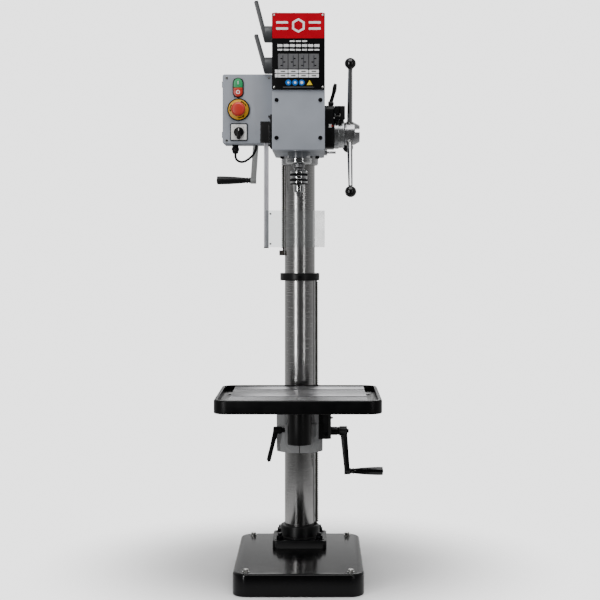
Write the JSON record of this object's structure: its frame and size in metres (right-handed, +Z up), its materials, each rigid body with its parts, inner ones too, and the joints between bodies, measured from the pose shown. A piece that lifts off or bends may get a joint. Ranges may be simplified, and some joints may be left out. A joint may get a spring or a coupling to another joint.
{
  "type": "floor standing pillar drill",
  "caption": "Geared-head pillar drill on a floor base with a cranked, tilting table, a hand-fed quill and a swinging chuck guard.",
  "frame": {"origin": "where the column axis meets the floor, on the underside of the base", "axes": "+Z up along the column, -Y towards the operator, +X to the operator's right"},
  "size_m": [0.472, 0.593, 1.5501],
  "materials": {
    "blue_grey_paint": "satin blue-grey enamel",
    "black_paint": "gloss black enamel",
    "ground_steel": "ground, lightly oiled",
    "chrome": "polished",
    "gear_steel": "machined",
    "light_grey_casting": "satin light grey",
    "machined_iron": "planed work surface in a black painted tray",
    "black_plastic": "moulded",
    "dark_grey_casting": "satin dark grey",
    "aluminium": "satin",
    "clear_shield": "clear",
    "red_plastic": "moulded",
    "green_plastic": "moulded",
    "yellow_plastic": "moulded",
    "white_plastic": "moulded",
    "sign_print": "printed plate"
  },
  "bodies": {
    "stand": {"base": "black_paint", "column_flange": "black_paint", "column": "ground_steel", "column_cap": "black_plastic", "rack_collar": "black_paint", "head_rack": "ground_steel"},
    "table_swivel": {"table_rack": "ground_steel"},
    "table_carriage": {"table_sleeve": "light_grey_casting", "table_worm_housing": "black_paint"},
    "table_tilter": {"table_top": "machined_iron", "table_neck": "black_paint", "tilt_bolt": "gear_steel"},
    "table_clamp": {"table_clamp_lever": "black_paint"},
    "table_pinion": {"table_pinion": "gear_steel"},
    "table_crank": {"table_worm_shaft": "black_paint", "table_crank_arm": "black_paint"},
    "table_grip": {"table_crank_grip": "black_plastic"},
    "head": {"head_casting": "blue_grey_paint", "front_cover": "blue_grey_paint", "gearbox_housing": "blue_grey_paint", "gearbox_lid": "blue_grey_paint", "sign_plate": "sign_print", "motor": "blue_grey_paint", "feed_housing": "black_paint", "depth_stop_block": "black_paint", "head_worm_housing": "blue_grey_paint", "guard_plate": "black_paint", "control_box": "blue_grey_paint", "button_frame": "black_plastic", "estop_ring": "yellow_plastic", "selector_plate": "white_plastic", "cable_gland": "black_plastic", "interlock_cable": "black_plastic"},
    "head_pinion": {"head_pinion": "gear_steel"},
    "head_crank": {"head_worm_shaft": "dark_grey_casting", "head_crank_arm": "aluminium"},
    "head_grip": {"head_crank_grip": "black_plastic"},
    "head_clamp": {"head_clamp_lever": "ground_steel"},
    "quill": {"quill": "chrome"},
    "spindle": {"spindle": "gear_steel", "chuck_body": "chrome", "chuck_sleeve": "chrome"},
    "feed": {"feed_hub": "dark_grey_casting", "feed_handle_1": "black_plastic", "feed_handle_2": "black_plastic", "feed_handle_3": "black_plastic"},
    "depth_dial": {"depth_dial": "aluminium"},
    "depth_lock": {"depth_lock_lever": "black_paint"},
    "speed_lever_upper": {"speed_lever_upper": "dark_grey_casting"},
    "speed_lever_lower": {"speed_lever_lower": "dark_grey_casting"},
    "start_button": {"start_button": "green_plastic"},
    "stop_button": {"stop_button": "red_plastic"},
    "estop_button": {"estop_button": "red_plastic"},
    "selector_knob": {"selector_knob": "black_plastic"},
    "guard_bracket": {"guard_bracket": "black_paint"},
    "guard": {"guard_rail": "aluminium", "guard_shield": "clear_shield"},
    "motor_pinion": {"motor_pinion": "gear_steel"},
    "idler_gear": {"idler_gear": "gear_steel"},
    "spindle_gear": {"spindle_gear": "gear_steel"}
  },
  "joints": [
    {"name": "table_swing", "type": "hinge", "parent": "stand", "child": "table_swivel", "pos_m": [0, 0, 0.4], "axis": [0, 0, 1], "range_deg": [-180, 180]},
    {"name": "table_lift", "type": "slide", "parent": "table_swivel", "child": "table_carriage", "axis": [0, 0, 1], "range_m": [-0.18, 0.33]},
    {"name": "table_tilt", "type": "hinge", "parent": "table_carriage", "child": "table_tilter", "pos_m": [0, -0.09, 0.438], "axis": [0, 1, 0], "range_deg": [-45, 45]},
    {"name": "table_clamp_turn", "type": "hinge", "parent": "table_carriage", "child": "table_clamp", "pos_m": [0, -0.073, 0.389], "axis": [1, 0, 0], "range_deg": [-90, 45]},
    {"name": "table_pinion_spin", "type": "hinge", "parent": "table_carriage", "child": "table_pinion", "pos_m": [0.0663, 0, 0.4], "axis": [0, 1, 0], "range_deg": [-1262, 689]},
    {"name": "table_crank_turn", "type": "hinge", "parent": "table_carriage", "child": "table_crank", "pos_m": [0.1, 0.022, 0.374], "axis": [1, 0, 0], "range_deg": [-6189, 11346]},
    {"name": "table_grip_spin", "type": "hinge", "parent": "table_crank", "child": "table_grip", "pos_m": [0.18, 0.022, 0.26], "axis": [1, 0, 0], "continuous": true},
    {"name": "head_lift", "type": "slide", "parent": "stand", "child": "head", "axis": [0, 0, 1], "range_m": [-0.239, 0.08]},
    {"name": "head_pinion_spin", "type": "hinge", "parent": "head", "child": "head_pinion", "pos_m": [-0.0663, 0, 1.226], "axis": [0, 1, 0], "range_deg": [-914, 307]},
    {"name": "head_crank_turn", "type": "hinge", "parent": "head", "child": "head_crank", "pos_m": [-0.1, 0.022, 1.2], "axis": [1, 0, 0], "range_deg": [-8218, 2752]},
    {"name": "head_grip_spin", "type": "hinge", "parent": "head_crank", "child": "head_grip", "pos_m": [-0.18, 0.022, 1.086], "axis": [1, 0, 0], "continuous": true},
    {"name": "head_clamp_turn", "type": "hinge", "parent": "head", "child": "head_clamp", "pos_m": [0.069, -0.052, 1.161], "axis": [1, 0, 0], "range_deg": [-60, 60]},
    {"name": "quill_feed", "type": "slide", "parent": "head", "child": "quill", "axis": [0, 0, -1], "range_m": [0, 0.11]},
    {"name": "spindle_spin", "type": "hinge", "parent": "quill", "child": "spindle", "pos_m": [0, -0.24, 1.1], "axis": [0, 0, 1], "continuous": true},
    {"name": "feed_turn", "type": "hinge", "parent": "head", "child": "feed", "pos_m": [0.136, -0.1967, 1.203], "axis": [1, 0, 0], "range_deg": [-1, 422]},
    {"name": "depth_dial_turn", "type": "hinge", "parent": "feed", "child": "depth_dial", "pos_m": [0.108, -0.1967, 1.203], "axis": [1, 0, 0], "range_deg": [-180, 180]},
    {"name": "depth_lock_turn", "type": "hinge", "parent": "head", "child": "depth_lock", "pos_m": [0.085, -0.215, 1.2814], "axis": [1, 0, 0], "range_deg": [-35, 35]},
    {"name": "speed_lever_upper_turn", "type": "hinge", "parent": "head", "child": "speed_lever_upper", "pos_m": [-0.092, -0.25, 1.4616], "axis": [1, 0, 0], "range_deg": [-45, 45]},
    {"name": "speed_lever_lower_turn", "type": "hinge", "parent": "head", "child": "speed_lever_lower", "pos_m": [-0.092, -0.25, 1.3788], "axis": [1, 0, 0], "range_deg": [-45, 45]},
    {"name": "start_press", "type": "slide", "parent": "head", "child": "start_button", "axis": [0, 1, 0], "range_m": [0, 0.003], "stiffness_N_per_m": 800, "springref_m": -0.0005},
    {"name": "stop_press", "type": "slide", "parent": "head", "child": "stop_button", "axis": [0, 1, 0], "range_m": [0, 0.003], "stiffness_N_per_m": 800, "springref_m": -0.0005},
    {"name": "estop_press", "type": "slide", "parent": "head", "child": "estop_button", "axis": [0, 1, 0], "range_m": [0, 0.005], "stiffness_N_per_m": 900, "springref_m": -0.0005},
    {"name": "selector_turn", "type": "hinge", "parent": "head", "child": "selector_knob", "pos_m": [-0.1585, -0.26, 1.2025], "axis": [0, 1, 0], "range_deg": [-60, 60]},
    {"name": "guard_swing", "type": "hinge", "parent": "head", "child": "guard_bracket", "pos_m": [-0.0842, -0.3004, 1.198], "axis": [0, 0, 1], "range_deg": [-110, 0]},
    {"name": "guard_slide", "type": "slide", "parent": "guard_bracket", "child": "guard", "axis": [0, 0, 1], "range_m": [-0.045, 0.03]},
    {"name": "motor_spin", "type": "hinge", "parent": "head", "child": "motor_pinion", "pos_m": [0, -0.125, 1.34], "axis": [0, 0, 1], "continuous": true},
    {"name": "idler_spin", "type": "hinge", "parent": "head", "child": "idler_gear", "pos_m": [0, -0.182, 1.34], "axis": [0, 0, 1], "continuous": true},
    {"name": "spindle_gear_spin", "type": "hinge", "parent": "head", "child": "spindle_gear", "pos_m": [0, -0.24, 1.36], "axis": [0, 0, 1], "continuous": true}
  ],
  "couplings": [
    {"joint": "table_pinion_spin", "follows": "table_lift", "rad_per_m": -66.667},
    {"joint": "table_crank_turn", "follows": "table_lift", "rad_per_m": 600},
    {"joint": "head_pinion_spin", "follows": "head_lift", "rad_per_m": 66.667},
    {"joint": "head_crank_turn", "follows": "head_lift", "rad_per_m": 600},
    {"joint": "feed_turn", "follows": "quill_feed", "rad_per_m": 66.667},
    {"joint": "spindle_gear_spin", "follows": "spindle_spin", "ratio": 1},
    {"joint": "idler_spin", "follows": "spindle_spin", "ratio": -2.2222},
    {"joint": "motor_spin", "follows": "spindle_spin", "ratio": 4.8148}
  ]
}
